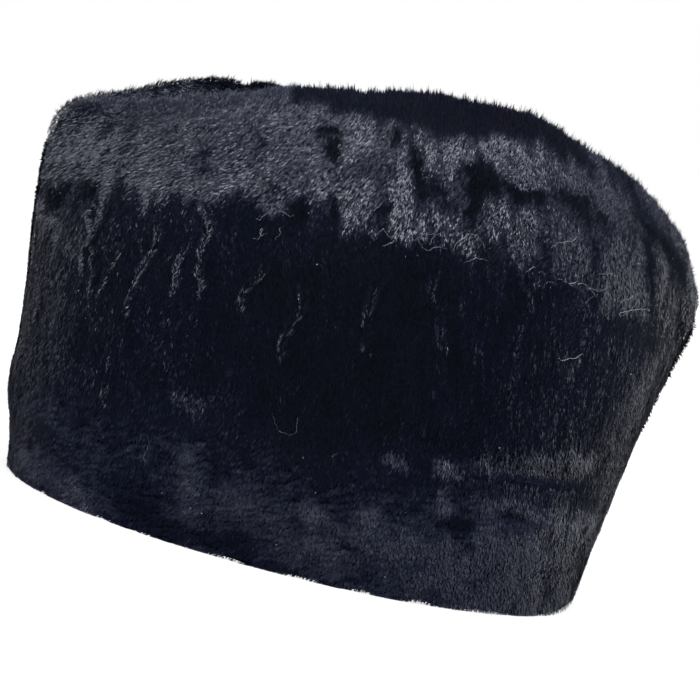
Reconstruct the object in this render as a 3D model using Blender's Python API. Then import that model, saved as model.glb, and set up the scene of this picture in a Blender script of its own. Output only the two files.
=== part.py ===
"""Karakul hat that folds flat: two curled-pile side panels and a crown sunk between two ridges.

The panels meet at a back and a front centre seam. Each rises from the oval rim, leans in at the
shoulder and rolls inward over its ridge. The lens-shaped crown hangs between the rolled edges as a
lengthwise valley. X runs to the front, Y to the left panel, Z up; the rim rests on Z = 0.
"""
import math

import bmesh
import bpy
import numpy as np

MM = 0.001

# Driving dimensions, in millimetres
WALL = 3.0
SEAM_GAP = 0.3
ROLL_RADIUS = 10.0
ROLL_TURN = math.radians(50.0)
ROLL_MOST = 9.7
TIP_ROLL_EXTRA = 1.6
VALLEY_DEPTH = 42.0
VALLEY_POWER = 1.35
VALLEY_TAPER = 0.9
CROWN_TIP_HALF_WIDTH = 1.5
CROWN_TIP_GAP = 1.6
CROWN_TIP_PULL = 0.3
CROWN_GAP_MIDDLE = 0.33
CROWN_GAP_SPREAD = 0.45
TOUCH = 0.01

# How much thicker than WALL the pelt measures where its faces lean, as shares of WALL
LENS_REACH_GAIN = 0.5
SHOULDER_GAIN = 0.35
RIDGE_SHARE = 1.15
ROLLED_SEAM_GAIN = 0.6

# How finely the surfaces are divided
COLUMNS = 50
CREST_ROWS = 4
CROWN_ROWS = 7
WALL_RISES = (0.0, 0.06, 0.14, 0.21, 0.26, 0.30, 0.34, 0.40, 0.50, 0.60, 0.70, 0.78, 0.85, 0.91, 0.96, 1.0)

# Horizontal sections of the wall. A lens share of 0 is an oval, of 1 a pointed lens.
# rise, front reach, back reach, half width, lens share
SECTIONS = (
    (0.000, 97.5, 102.0, 85.0, 0.00),
    (0.200, 100.5, 106.0, 87.0, 0.05),
    (0.400, 105.0, 109.0, 86.5, 0.18),
    (0.600, 109.5, 111.5, 83.5, 0.36),
    (0.780, 113.5, 114.0, 76.5, 0.58),
    (0.900, 115.0, 115.0, 67.5, 0.79),
    (0.965, 114.5, 114.0, 60.0, 0.93),
    (1.000, 112.5, 112.0, 53.0, 1.00),
)

# Heights from the back seam, station 0, to the front seam, station 1.
# station, right ridge, left ridge, rim lift
RIDGES = (
    (0.00, 120.0, 120.0, 1.0),
    (0.03, 123.5, 125.5, 0.4),
    (0.10, 129.0, 133.5, 0.0),
    (0.20, 136.5, 142.0, 0.0),
    (0.30, 144.0, 146.0, 0.0),
    (0.40, 149.5, 148.5, 0.0),
    (0.50, 154.0, 152.5, 0.0),
    (0.58, 155.5, 154.0, 0.0),
    (0.66, 154.5, 153.0, 0.0),
    (0.74, 151.0, 149.5, 0.0),
    (0.82, 146.0, 144.5, 0.4),
    (0.89, 139.0, 137.5, 1.4),
    (0.95, 129.5, 128.5, 3.5),
    (1.00, 114.0, 114.0, 7.0),
)

# Small dents and bumps of the crest.
# side, station, height change, half length in stations
CREST_DENTS = (
    (1, 0.262, -4.0, 0.022),
    (1, 0.335, -1.5, 0.030),
    (-1, 0.300, 0.6, 0.050),
    (-1, 0.645, 0.8, 0.040),
    (-1, 0.760, -0.6, 0.030),
)

# Shallow lengthwise creases of the wall.
# side, height, depth, half height, from station, to station
CREASES = (
    (-1, 47.0, 1.2, 5.0, 0.50, 0.90),
    (-1, 80.0, 0.7, 6.0, 0.12, 0.34),
    (1, 58.0, 0.9, 6.0, 0.30, 0.75),
)

# name, colour, roughness
PELTS = (
    ("side_panel_right", (0.012, 0.013, 0.019), 0.55),
    ("side_panel_left", (0.012, 0.013, 0.019), 0.55),
    ("crown", (0.010, 0.011, 0.016), 0.60),
)


def column(table, index):
    """One named column of a table as an array."""
    return np.array([row[index] for row in table], dtype=float)


def smooth(value, keys, levels):
    """Read a table with a smooth curve that never overshoots its rows."""
    width = np.diff(keys)
    slope = np.diff(levels) / width
    tangent = np.zeros(len(keys))
    both = slope[:-1] * slope[1:]
    total = slope[:-1] + slope[1:]
    tangent[1:-1] = np.where(both > 0.0, 2.0 * both / np.where(total == 0.0, 1.0, total), 0.0)
    tangent[0] = slope[0]
    tangent[-1] = slope[-1]
    span = np.clip(np.searchsorted(keys, value, side="right") - 1, 0, len(width) - 1)
    part = (value - keys[span]) / width[span]
    start = (2.0 * part ** 3 - 3.0 * part ** 2 + 1.0) * levels[span]
    leave = (part ** 3 - 2.0 * part ** 2 + part) * width[span] * tangent[span]
    end = (3.0 * part ** 2 - 2.0 * part ** 3) * levels[span + 1]
    arrive = (part ** 3 - part ** 2) * width[span] * tangent[span + 1]
    return start + leave + end + arrive


def section(rise, index):
    return smooth(rise, column(SECTIONS, 0), column(SECTIONS, index))


def ridge(station, index):
    return smooth(station, column(RIDGES, 0), column(RIDGES, index))


def bump(distance):
    """A smooth hump of height 1 that ends at distance 1."""
    near = np.clip(np.abs(distance), 0.0, 1.0)
    return (1.0 - near ** 2) ** 2


def wall_points(side, station, rise, inset):
    """Points of a side wall; an inset of 0 is the pile side and of 1 the flesh side."""
    lens = section(rise, 4)
    reach_inset = WALL * inset * (1.0 + LENS_REACH_GAIN * lens)
    width_inset = WALL * inset * (1.0 + SHOULDER_GAIN * rise ** 4)
    top_inset = WALL * inset * RIDGE_SHARE * rise ** 3
    along = (1.0 - lens) * -np.cos(math.pi * station) + lens * (2.0 * station - 1.0)
    reach = np.where(along > 0.0, section(rise, 1), section(rise, 2)) - reach_inset
    power = 0.5 + 0.5 * lens
    across = (section(rise, 3) - width_inset) * np.maximum(1.0 - along ** 2, 0.0) ** power
    lift = ridge(station, 3)
    height = lift + rise * (ridge(station, 1 if side < 0 else 2) - lift)
    for dent_side, place, change, length in CREST_DENTS:
        if dent_side == side:
            height = height + change * bump((station - place) / length) * rise ** 6
    height = height - top_inset
    for crease_side, level, depth, half, start, stop in CREASES:
        if crease_side == side:
            middle = 0.5 * (start + stop)
            window = bump((station - middle) / (0.5 * (stop - start)))
            across = across - depth * window * bump((height - level) / half)
    across = np.maximum(across, 0.5 * SEAM_GAP)
    return np.stack([along * reach, across, height], axis=-1)


def roll_reach(ridge_across):
    """How far inward the crest rolls: a full turn, or up to the centre seam near the ends."""
    full = ROLL_RADIUS * math.sin(ROLL_TURN)
    to_seam = ridge_across - 0.5 * SEAM_GAP
    short = np.minimum(to_seam, full + TIP_ROLL_EXTRA)
    return np.where(ridge_across - full >= CROWN_TIP_HALF_WIDTH, full, short)


def crest_edge(side, station):
    """Outer and inner seam edge of the rolled crest, with the angle the roll has turned."""
    top = wall_points(side, station, np.ones_like(station), 0.0)
    reach = np.clip(roll_reach(top[..., 1]), 0.0, ROLL_MOST)
    turned = np.arcsin(reach / ROLL_RADIUS)
    outer = top.copy()
    outer[..., 1] -= reach
    outer[..., 2] -= ROLL_RADIUS * (1.0 - np.cos(turned))
    inner_top = wall_points(side, station, np.ones_like(station), 1.0)
    inner = outer.copy()
    inner[..., 0] = inner_top[..., 0]
    open_seam = top[..., 1] - reach > SEAM_GAP
    inner[..., 1] = np.where(open_seam, outer[..., 1] + WALL * np.sin(turned), 0.5 * SEAM_GAP)
    drop_open = WALL * np.cos(turned)
    drop_closed = WALL * (RIDGE_SHARE + ROLLED_SEAM_GAIN * reach / ROLL_RADIUS)
    inner[..., 2] = outer[..., 2] - np.where(open_seam, drop_open, drop_closed)
    return outer, inner, turned


def panel_sheet(side, inset):
    """The pile or flesh sheet of a panel: columns along the hat, rows from the rim to the seam."""
    station = np.linspace(0.0, 1.0, COLUMNS + 1)[:, None]
    rise = np.array(WALL_RISES)[None, :]
    stations, rises = np.broadcast_arrays(station, rise)
    wall = wall_points(side, stations, rises, inset)
    top = wall[:, -1]
    outer, inner, turned = crest_edge(side, station[:, 0])
    rows = [wall]
    for step in range(1, CREST_ROWS + 1):
        share = step / CREST_ROWS
        if inset > 0.0:
            point = top + share * (inner - top)
        else:
            point = top.copy()
            point[:, 1] -= ROLL_RADIUS * np.sin(turned * share)
            point[:, 2] -= ROLL_RADIUS * (1.0 - np.cos(turned * share))
        rows.append(point[:, None])
    sheet = np.concatenate(rows, axis=1)
    sheet[..., 1] = np.maximum(sheet[..., 1], 0.5 * SEAM_GAP) * side
    return sheet


def crown_sheets():
    """Top and under sheet of the crown: columns along the hat, rows from right seam to left seam."""
    station = np.linspace(0.0, 1.0, COLUMNS + 1)
    edges = {side: crest_edge(side, station) for side in (-1, 1)}
    wide = np.minimum(edges[-1][0][:, 1], edges[1][0][:, 1]) >= CROWN_TIP_HALF_WIDTH - TOUCH
    half = edges[-1][0][wide, 1]
    depth = VALLEY_DEPTH * (half / half.max()) ** VALLEY_TAPER
    gap = CROWN_GAP_MIDDLE + CROWN_GAP_SPREAD * (2.0 * station[wide] - 1.0) ** 2
    gap[[0, -1]] = CROWN_TIP_GAP
    seam_height = {side: edges[side][0][wide, 2] for side in (-1, 1)}
    bottom = 0.5 * (seam_height[-1] + seam_height[1]) - depth
    top_rows = []
    under_rows = []
    steps = [(-1, k / CROWN_ROWS) for k in range(CROWN_ROWS)]
    steps += [(1, 1.0 - k / CROWN_ROWS) for k in range(CROWN_ROWS + 1)]
    for side, inward in steps:
        outer, inner, turned = (part[wide] for part in edges[side])
        fall = 1.0 - (1.0 - inward) ** VALLEY_POWER
        top = np.empty((half.size, 3))
        top[:, 0] = outer[:, 0]
        top[:, 1] = side * (half - gap * np.cos(turned)) * (1.0 - inward)
        top[:, 2] = outer[:, 2] - gap * np.sin(turned) - (seam_height[side] - bottom) * fall
        top_rows.append(top)
        under_rows.append(inner[:, 0])
    top = np.stack(top_rows, axis=1)
    tangent = np.gradient(top[..., 1:], axis=1)
    tangent /= np.linalg.norm(tangent, axis=2, keepdims=True)
    under = top.copy()
    under[..., 0] = np.stack(under_rows, axis=1)
    under[..., 1] += WALL * tangent[..., 1]
    under[..., 2] -= WALL * tangent[..., 0]
    for sheet in (top, under):
        for tip, beside in ((0, 1), (-1, -2)):
            sheet[tip, :, ::2] += CROWN_TIP_PULL * (sheet[beside, :, ::2] - sheet[tip, :, ::2])
    for row, side in ((0, -1), (-1, 1)):
        turned = edges[side][2][wide]
        under[:, row, 1] = top[:, row, 1] + side * WALL * np.sin(turned)
        under[:, row, 2] = top[:, row, 2] - WALL * np.cos(turned)
    return top, under


def solid(name, outer, inner, colour, roughness):
    """Close an outer and an inner sheet with strips along all four edges into one body."""
    columns, rows = outer.shape[:2]
    points = np.concatenate([outer.reshape(-1, 3), inner.reshape(-1, 3)]) * MM
    count = columns * rows

    def at(layer, i, j):
        return layer * count + i * rows + j

    faces = []
    for i in range(columns - 1):
        for j in range(rows - 1):
            faces.append((at(0, i, j), at(0, i + 1, j), at(0, i + 1, j + 1), at(0, i, j + 1)))
            faces.append((at(1, i, j), at(1, i, j + 1), at(1, i + 1, j + 1), at(1, i + 1, j)))
        for j in (0, rows - 1):
            faces.append((at(0, i, j), at(1, i, j), at(1, i + 1, j), at(0, i + 1, j)))
    for j in range(rows - 1):
        for i in (0, columns - 1):
            faces.append((at(0, i, j), at(0, i, j + 1), at(1, i, j + 1), at(1, i, j)))
    mesh = bpy.data.meshes.new(name)
    mesh.from_pydata(points.tolist(), [], faces)
    body = bmesh.new()
    body.from_mesh(mesh)
    bmesh.ops.remove_doubles(body, verts=body.verts, dist=TOUCH * MM)
    bmesh.ops.dissolve_degenerate(body, edges=body.edges, dist=TOUCH * MM)
    bmesh.ops.triangulate(body, faces=body.faces)
    bmesh.ops.recalc_face_normals(body, faces=body.faces)
    body.to_mesh(mesh)
    body.free()
    mesh.polygons.foreach_set("use_smooth", [True] * len(mesh.polygons))
    mesh.set_sharp_from_angle(angle=math.radians(50.0))
    material = bpy.data.materials.new(name)
    material.use_nodes = True
    shader = material.node_tree.nodes["Principled BSDF"]
    shader.inputs["Base Color"].default_value = (*colour, 1.0)
    shader.inputs["Roughness"].default_value = roughness
    shader.inputs["Metallic"].default_value = 0.0
    mesh.materials.append(material)
    piece = bpy.data.objects.new(name, mesh)
    bpy.context.scene.collection.objects.link(piece)
    return piece


for thing in list(bpy.data.objects):
    bpy.data.objects.remove(thing, do_unlink=True)

SHEETS = {
    "side_panel_right": (panel_sheet(-1, 0.0), panel_sheet(-1, 1.0)),
    "side_panel_left": (panel_sheet(1, 0.0), panel_sheet(1, 1.0)),
    "crown": crown_sheets(),
}
for pelt_name, pelt_colour, pelt_roughness in PELTS:
    solid(pelt_name, *SHEETS[pelt_name], pelt_colour, pelt_roughness)
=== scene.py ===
"""Karakul hat: thin pelts with their flesh side, a short lying pile with curl lines, and a studio.

Surfaces follow the same sections and ridges as the solids. Lengths in the tables are millimetres.
Along is 0 at the back seam and 300 at the front seam; up is 0 at the rim and 150 at the ridge.
Side is -1 for the right panel, 1 for the left and 0 for the crown, or for both panels in a table.
"""

import math

import bpy
import numpy as np
from mathutils import Matrix


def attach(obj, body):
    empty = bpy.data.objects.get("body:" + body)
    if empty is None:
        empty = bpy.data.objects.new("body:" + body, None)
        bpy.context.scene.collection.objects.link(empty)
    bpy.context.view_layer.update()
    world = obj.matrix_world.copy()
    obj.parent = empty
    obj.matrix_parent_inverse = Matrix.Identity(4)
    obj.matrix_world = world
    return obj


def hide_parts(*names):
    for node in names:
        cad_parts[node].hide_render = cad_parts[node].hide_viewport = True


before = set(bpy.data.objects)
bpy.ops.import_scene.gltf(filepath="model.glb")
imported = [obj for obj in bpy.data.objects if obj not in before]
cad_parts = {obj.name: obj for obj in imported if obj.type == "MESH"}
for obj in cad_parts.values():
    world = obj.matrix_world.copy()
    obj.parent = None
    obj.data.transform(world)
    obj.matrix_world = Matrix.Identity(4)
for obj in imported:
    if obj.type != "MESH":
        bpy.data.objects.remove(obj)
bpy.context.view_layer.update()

MM = 0.001
WALL = 3.0
SEAM_GAP = 0.3
ROLL_RADIUS = 10.0
ROLL_TURN = math.radians(50.0)
ROLL_MOST = 9.7
TIP_ROLL_EXTRA = 1.6
VALLEY_DEPTH = 42.0
VALLEY_POWER = 1.35
VALLEY_TAPER = 0.9
CROWN_TIP_HALF_WIDTH = 1.5
CROWN_GAP = 0.35
LENS_REACH_GAIN = 0.5
SHOULDER_GAIN = 0.35
RIDGE_SHARE = 1.15
ROLLED_SEAM_GAIN = 0.6
ALONG = 300.0
UP = 150.0

# rise, front reach, back reach, half width, lens share
SECTIONS = (
    (0.000, 97.5, 102.0, 85.0, 0.00),
    (0.200, 100.5, 106.0, 87.0, 0.05),
    (0.400, 105.0, 109.0, 86.5, 0.18),
    (0.600, 109.5, 111.5, 83.5, 0.36),
    (0.780, 113.5, 114.0, 76.5, 0.58),
    (0.900, 115.0, 115.0, 67.5, 0.79),
    (0.965, 114.5, 114.0, 60.0, 0.93),
    (1.000, 112.5, 112.0, 53.0, 1.00),
)
FRONT_REACH, BACK_REACH, HALF_WIDTH, LENS_SHARE = range(1, 5)

# station, right ridge, left ridge, rim lift
RIDGES = (
    (0.00, 120.0, 120.0, 1.0),
    (0.03, 123.5, 125.5, 0.4),
    (0.10, 129.0, 133.5, 0.0),
    (0.20, 136.5, 142.0, 0.0),
    (0.30, 144.0, 146.0, 0.0),
    (0.40, 149.5, 148.5, 0.0),
    (0.50, 154.0, 152.5, 0.0),
    (0.58, 155.5, 154.0, 0.0),
    (0.66, 154.5, 153.0, 0.0),
    (0.74, 151.0, 149.5, 0.0),
    (0.82, 146.0, 144.5, 0.4),
    (0.89, 139.0, 137.5, 1.4),
    (0.95, 129.5, 128.5, 3.5),
    (1.00, 114.0, 114.0, 7.0),
)
RIGHT_RIDGE, LEFT_RIDGE, RIM_LIFT = range(1, 4)

# Low and high places of the ridge line: side, station, change in height, half length in stations
CREST_DENTS = (
    (1, 0.262, -1.8, 0.022),
    (1, 0.335, -1.5, 0.030),
    (-1, 0.300, 0.6, 0.050),
    (-1, 0.645, 0.8, 0.040),
    (-1, 0.760, -0.6, 0.030),
)

# Shallow creases along a wall: side, height, depth, half height, from station, to station
CREASES = (
    (-1, 47.0, 1.2, 5.0, 0.50, 0.90),
    (-1, 80.0, 0.7, 6.0, 0.12, 0.34),
    (1, 58.0, 0.9, 6.0, 0.30, 0.75),
)

# How the pile lies. The line is the strands' angle from forward, turning upward, in degrees. The
# sheen is 0 for strands that stand straight up and 1 for faces turned to the light above.
# along, up, spread, line, sheen
NAP = (
    (8, 128, 20, 30, 0.30),
    (40, 130, 20, 24, 0.30),
    (75, 129, 20, 30, 0.30),
    (100, 128, 18, 48, 0.30),
    (125, 124, 16, 55, 0.30),
    (150, 124, 16, 60, 0.30),
    (185, 125, 18, 68, 0.30),
    (215, 127, 18, 74, 0.30),
    (245, 126, 18, 80, 0.35),
    (280, 116, 20, 82, 0.20),
    (275, 60, 26, 80, 0.27),
    (232, 84, 20, 80, 0.32),
    (185, 88, 20, 82, 0.20),
    (150, 86, 20, 84, 0.11),
    (110, 88, 20, 84, 0.13),
    (70, 88, 20, 84, 0.26),
    (20, 84, 20, 80, 0.36),
    (225, 55, 24, 78, 0.32),
    (150, 55, 26, 80, 0.09),
    (80, 58, 26, 80, 0.18),
    (20, 46, 24, 74, 0.36),
    (30, 14, 20, 62, 0.38),
    (75, 14, 22, 60, 0.36),
    (120, 16, 22, 60, 0.34),
    (165, 18, 22, 62, 0.42),
    (230, 12, 24, 66, 1.05),
)
CROWN_NAP = (
    (150, -40, 40, 160, 0.78),
    (150, 0, 30, 5, 0.85),
    (150, 40, 40, 30, 0.78),
    (60, 0, 40, 10, 0.80),
    (240, 0, 40, 0, 0.80),
)

# along, height where the bright shoulder begins, sheen of the shoulder
SHOULDER = (
    (0, 119, 0.72),
    (15, 118, 0.73),
    (53, 111.5, 0.79),
    (82, 108.5, 0.79),
    (100, 111, 0.75),
    (131, 107, 0.68),
    (165, 107, 0.60),
    (203, 106, 0.62),
    (248, 106, 0.50),
    (288, 114, 0.42),
    (300, 118, 0.36),
)

# Places on the right panel where the pile stands more (below 0) or lies brighter (above 0).
# along, up, half length, half height, lean in degrees, change of sheen
PATCHES = (
    (98, 146, 4, 4, -31, -1.0),
    (104, 148, 6, 3, -30, -1.0),
    (116, 147, 7, 4, -25, -1.0),
    (130, 145, 8, 5, -17, -1.0),
    (144, 145, 9, 5.5, -10, -1.0),
    (158, 145, 8, 6, 0, -1.0),
    (172, 146, 9, 4.5, 10, -1.0),
    (186, 147, 8, 3.5, 19, -1.0),
    (199, 146, 9, 3.5, 0, -0.9),
    (213, 145, 8, 3.5, 0, -0.8),
    (156, 156, 60, 7, 0, -1.0),
    (113, 134, 4, 2, -23, -0.55),
    (118, 127, 1.6, 5, -25, -0.62),
    (123, 112, 1.1, 5, -16, -0.6),
    (138, 134, 2.5, 3, -11, -0.5),
    (147, 126, 1.6, 8, -16, -0.58),
    (151, 121, 2.7, 5, -12, -0.42),
    (156, 119, 4, 3.2, -9, -0.32),
    (139, 114, 1.4, 7, -15, -0.5),
    (169, 127, 5, 5, 18, -0.62),
    (186, 126.5, 10, 2.3, -13, -0.6),
    (167, 118, 1.3, 6, -10, -0.7),
    (180, 114, 1.4, 4.7, 2, -0.6),
    (212, 129, 11, 4, -12, -0.5),
    (193, 124, 3.3, 2.8, -6, -0.4),
    (259, 136, 11, 6, -30, -0.62),
    (253, 123, 4, 8, -12, -0.62),
    (279, 134, 9, 6, -20, -0.5),
    (246, 144, 5, 4, -10, -0.5),
    (236, 148, 5, 5, -10, -0.5),
    (223, 141, 4, 6, -12, -0.35),
    (114, 110, 3, 3, -19, -0.45),
    (102, 115, 2, 2.3, -22, -0.5),
    (129, 127, 1.7, 3, -17, -0.3),
    (42, 121, 2.3, 1.5, -29, -0.7),
    (33, 122, 1.2, 5.6, -17, -0.35),
    (74, 125, 1.6, 7, -33, -0.5),
    (92, 127, 1.6, 5, -27, -0.5),
    (30, 114, 4, 4, -25, -0.2),
    (10, 113, 6, 6, -21, -0.25),
    (196, 112, 2.6, 4, -8, -0.4),
    (221, 115, 4, 5, -7, -0.35),
    (100, 141, 5.7, 4, -11, 0.3),
    (124, 136, 4, 5.4, -12, 0.5),
    (137, 139, 3.7, 1.6, -15, 0.3),
    (148, 135, 1.3, 2.8, -11, 0.4),
    (160, 133, 3.4, 3.1, -8, 0.45),
    (119, 118, 2.5, 4.3, -10, 0.4),
    (130, 116, 6, 5.4, -6, 0.3),
    (144, 117, 3.7, 7, -8, 0.4),
    (158, 110, 8, 4, -11, 0.25),
    (182, 135, 14, 5, -23, 0.7),
    (202, 136, 9, 2.4, -33, 0.4),
    (178, 121, 3.4, 3.5, -7, 0.5),
    (189, 118, 6, 6.5, 6, 0.4),
    (223, 135, 10, 4.7, 13, 0.42),
    (210, 114, 5, 6, 0, 0.35),
    (235, 114, 11, 8.6, -9, 0.35),
    (262, 125, 3, 9, -14, 0.35),
    (230, 146, 12, 2.6, 0, 0.2),
    (15, 100, 4.3, 9, -54, 0.6),
    (178, 43, 4, 1.8, 0, 0.6),
    (190, 45, 5, 2, 0, 0.55),
    (203, 47, 6, 2.2, 0, 0.5),
    (213, 49, 7, 2.6, 0, 0.6),
    (224, 51, 7, 3, 0, 0.7),
    (234, 53, 6, 2.6, 0, 0.5),
    (161, 41, 4, 2.3, -17, 0.45),
    (180, 33, 2.5, 3.6, 4, 0.35),
    (203, 35, 10, 1.7, -13, 0.35),
    (142, 21, 5.3, 2.2, -14, 0.3),
    (143, 11, 10, 7, -13, 0.3),
    (159, 23, 3.7, 3.1, -17, 0.3),
    (204, 12, 26, 8, -31, 0.45),
    (177, 14, 21, 7, -26, 0.25),
    (243, 15, 13, 13, -30, 0.7),
    (272, 40, 22, 20, -4, 0.28),
    (285, 18, 12, 18, 0, 0.5),
    (38, 8, 13, 5, -17, 0.35),
    (65, 6, 11, 5.6, -13, 0.3),
    (104, 20, 4.8, 11.5, -13, 0.3),
    (98, 46, 5.8, 3.4, -16, 0.25),
    (121, 18, 8.8, 6.5, -13, 0.2),
    (264, 81, 12, 23, 25, 0.2),
    (209, 30, 5.8, 4.2, -22, -0.3),
    (226, 27, 2.8, 4.2, -28, -0.35),
    (188, 24, 4, 5, -19, -0.4),
    (156, 14, 2, 2, -15, -0.35),
    (174, 12, 6, 3, -15, -0.3),
    (90, 8, 13, 5.3, -23, -0.18),
    (116, 5, 10, 2.8, -27, -0.2),
    (244, 41, 10, 4.7, -36, -0.25),
    (226, 14, 2.3, 10, -13, -0.4),
)

# Ridges where curled pile parts to both sides.
# along from, up from, along to, up to, sway, height
CURLS = (
    (40, 113, 42, 80, 1.5, 1.0),
    (36, 110, 49, 74, -2.0, 1.0),
    (56, 94, 55, 73, 1.0, 0.8),
    (81, 110, 94, 77, 2.0, 1.0),
    (81, 95, 82, 77, -1.0, 0.9),
    (107, 93, 105, 76, 1.5, 0.8),
    (29, 86, 30, 78, 0.5, 0.7),
    (18, 72, 20, 60, 1.0, 0.7),
    (66, 104, 70, 66, 2.5, 0.7),
    (120, 88, 124, 62, 2.0, 0.6),
    (140, 92, 146, 70, 1.5, 0.6),
    (160, 100, 168, 66, -2.0, 0.5),
    (62, 60, 74, 36, 2.0, 0.5),
    (190, 108, 196, 70, 2.0, 0.5),
)

# Places where the pelt lies a little fuller or thinner than the plain section.
# side, along, up, half length, half height, height
SWELLS = (
    (-1, 16, 146, 26, 12, 1.1),
    (-1, 8, 36, 26, 22, 1.2),
    (1, 8, 36, 26, 22, 1.0),
    (1, 75, 154, 55, 11, 0.9),
    (-1, 248, 143, 46, 15, -1.0),
    (-1, 218, 151, 13, 12, -0.9),
    (-1, 124, 153, 12, 10, -0.9),
    (-1, 165, 153, 14, 10, -0.8),
    (0, 3, 150, 18, 13, 1.9),
    (0, 2, 105, 16, 36, 0.6),
    (0, 3, 32, 16, 18, 0.8),
    (0, 297, 140, 22, 26, 1.2),
)

# The cut edge of the rim is wavy: side, along, half length, change in height
RIM_MARKS = (
    (-1, 50, 6, 0.5),
    (-1, 77, 7, 0.6),
    (-1, 86, 5, -0.7),
    (-1, 101, 5, -0.7),
    (-1, 122, 7, 0.6),
    (-1, 143, 7, 0.8),
    (-1, 153, 5, -0.6),
    (-1, 162, 5, 0.6),
    (-1, 172, 7, -0.9),
    (-1, 181, 6, 1.2),
    (-1, 201, 8, 0.7),
    (-1, 211, 4, 0.5),
    (-1, 226, 8, -0.9),
    (-1, 262, 12, 0.5),
    (-1, 296, 14, -0.6),
    (0, 4, 14, -0.6),
    (1, 60, 8, 0.8),
    (1, 110, 6, -0.7),
    (1, 150, 9, 0.8),
    (1, 205, 6, -0.7),
    (1, 240, 8, 0.9),
)
RIM_REACH = 5.0

# Loose pale hairs lying on the pile of the right panel, each as points along and up.
HAIRS = (
    ((148.8, 127.2), (150.8, 129.8), (156.8, 131.2)),
    ((145.8, 125.8), (144.8, 122.8), (146.9, 121.0), (146.8, 119.8)),
    ((158.0, 111.4), (156.8, 108.3), (156.0, 105.1)),
    ((162.8, 104.2), (167.5, 110.6), (171.2, 109.2), (173.8, 106.2)),
    ((139.2, 105.8), (141.0, 106.9), (143.2, 105.8), (145.1, 106.5)),
    ((151.8, 105.8), (154.6, 104.0), (161.8, 104.8)),
    ((197.8, 112.8), (202.0, 114.1), (207.0, 116.9), (210.6, 118.6)),
    ((202.2, 104.2), (206.5, 103.9), (209.5, 104.1), (213.8, 105.8), (219.8, 105.8), (225.6, 108.1)),
    ((218.6, 104.1), (216.0, 101.8), (217.3, 100.2)),
    ((220.0, 110.6), (225.0, 112.8), (230.4, 112.9)),
    ((232.6, 105.1), (241.5, 107.8), (239.0, 102.2), (234.8, 101.8), (248.1, 107.1), (251.6, 108.1)),
    ((188.8, 103.3), (191.2, 105.2), (193.0, 105.8)),
    ((194.8, 103.3), (194.3, 100.8), (197.2, 100.8)),
    ((251.9, 107.4), (255.1, 105.6), (258.8, 104.0)),
    ((170.8, 116.0), (172.2, 114.2)),
    ((89.2, 31.8), (90.8, 29.3), (90.3, 24.8), (91.8, 23.8)),
    ((123.8, 47.2), (126.1, 42.5), (130.9, 43.0), (130.8, 47.8)),
    ((142.2, 38.8), (143.8, 39.2)),
    ((12.8, 115.8), (16.0, 112.2)),
    ((73.2, 114.5), (75.8, 113.8), (78.8, 113.0)),
    ((92.8, 120.2), (92.8, 118.5), (92.5, 116.4)),
    ((66.8, 107.8), (69.0, 107.2), (70.5, 108.8)),
    ((106.0, 107.4), (107.8, 108.3), (110.8, 107.2), (112.8, 108.0)),
    ((109.8, 103.3), (109.8, 101.2), (109.5, 99.6)),
    ((206.8, 82.2), (211.5, 82.4), (217.5, 85.4)),
    ((189.8, 46.2), (191.5, 44.6), (191.2, 42.8)),
    ((142.5, 107.9), (146.5, 104.9), (150.0, 106.1)),
    ((152.2, 132.8), (154.5, 130.9), (156.5, 129.6)),
    ((235.9, 122.9), (239.5, 120.2), (243.6, 119.6)),
    ((149.1, 104.5), (152.2, 107.2), (156.2, 106.8), (158.8, 108.3)),
    ((167.2, 102.2), (171.0, 103.9), (175.2, 103.8)),
)
HAIR_RADIUS = 0.055
HAIR_LIFT = 0.75

# name, side, part covered from and to, strands, their length and width, seed
PILES = (
    ("pile_right_back", -1, 0.0, 0.33, 160000, 1.65, 0.21, 11),
    ("pile_right_middle", -1, 0.33, 0.66, 160000, 1.65, 0.21, 16),
    ("pile_right_front", -1, 0.66, 1.0, 160000, 1.65, 0.21, 12),
    ("pile_left_back", 1, 0.0, 0.5, 130000, 2.0, 0.29, 13),
    ("pile_left_front", 1, 0.5, 1.0, 130000, 2.0, 0.29, 15),
    ("pile_crown", 0, 0.0, 1.0, 115000, 2.0, 0.28, 14),
)

# Columns, rows and rows of the roll of a side panel, and columns and half the rows of the crown
PELT_SIZES = ((120, 60, 5), (110, 20))
PILE_SIZES = ((420, 190, 14), (360, 90))

# Name of the pelt of each side, and the node that it replaces
PELTS = {
    -1: ("pelt_right", "side_panel_right"),
    1: ("pelt_left", "side_panel_left"),
    0: ("pelt_crown", "crown"),
}

# Depth of the skin and the roots as shares of the pelt, and the share of a curl that each shows
SKIN_DEPTH = 0.42
ROOT_DEPTH = 0.30
CURL_IN_SKIN = 0.5
CURL_IN_PILE = 0.45

# How the patches fade outward
PATCH_POWER = 1.2
PATCH_FALL = 0.72

# In degrees: slope of the strands' faces at sheens of 0 and 1, turn of erect strands, lean of those
# across a seam, and start and span of the turn that counts as upright and of the lean that sits deep
FACE_LOWEST = -14.0
FACE_BRIGHT = 26.0
ERECT_TURN = -84.0
CROSSING_LEAN = 8.0
UPRIGHT_FROM = (15.0, 30.0)
SUNK_FROM = (40.0, 40.0)

# Where the pile of a wall changes: the start and the span of each change, along or up
STREAKS_FROM = (95.0, 20.0)
STROKES_FROM = (140.0, 30.0)
STROKES_ABOVE = (58.0, 16.0)
CALM_FROM = (165.0, 10.0)
FRONT_FROM = (225.0, 25.0)
FRONT_BELOW = (112.0, -12.0)
COMBED_TOP = 48.0
COMBED_BELOW = (COMBED_TOP, -16.0)
SHORT_BELOW = (36.0, -20.0)
SHOULDER_FOOT = (-4.5, 9.0)
GUARD_ABOVE = (132.0, 8.0)
CREST_ABOVE = (142.0, 5.0)
CROSSING_BELOW = (138.0, -8.0)
SEAM_REACH = (2.0, -1.0)
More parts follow.
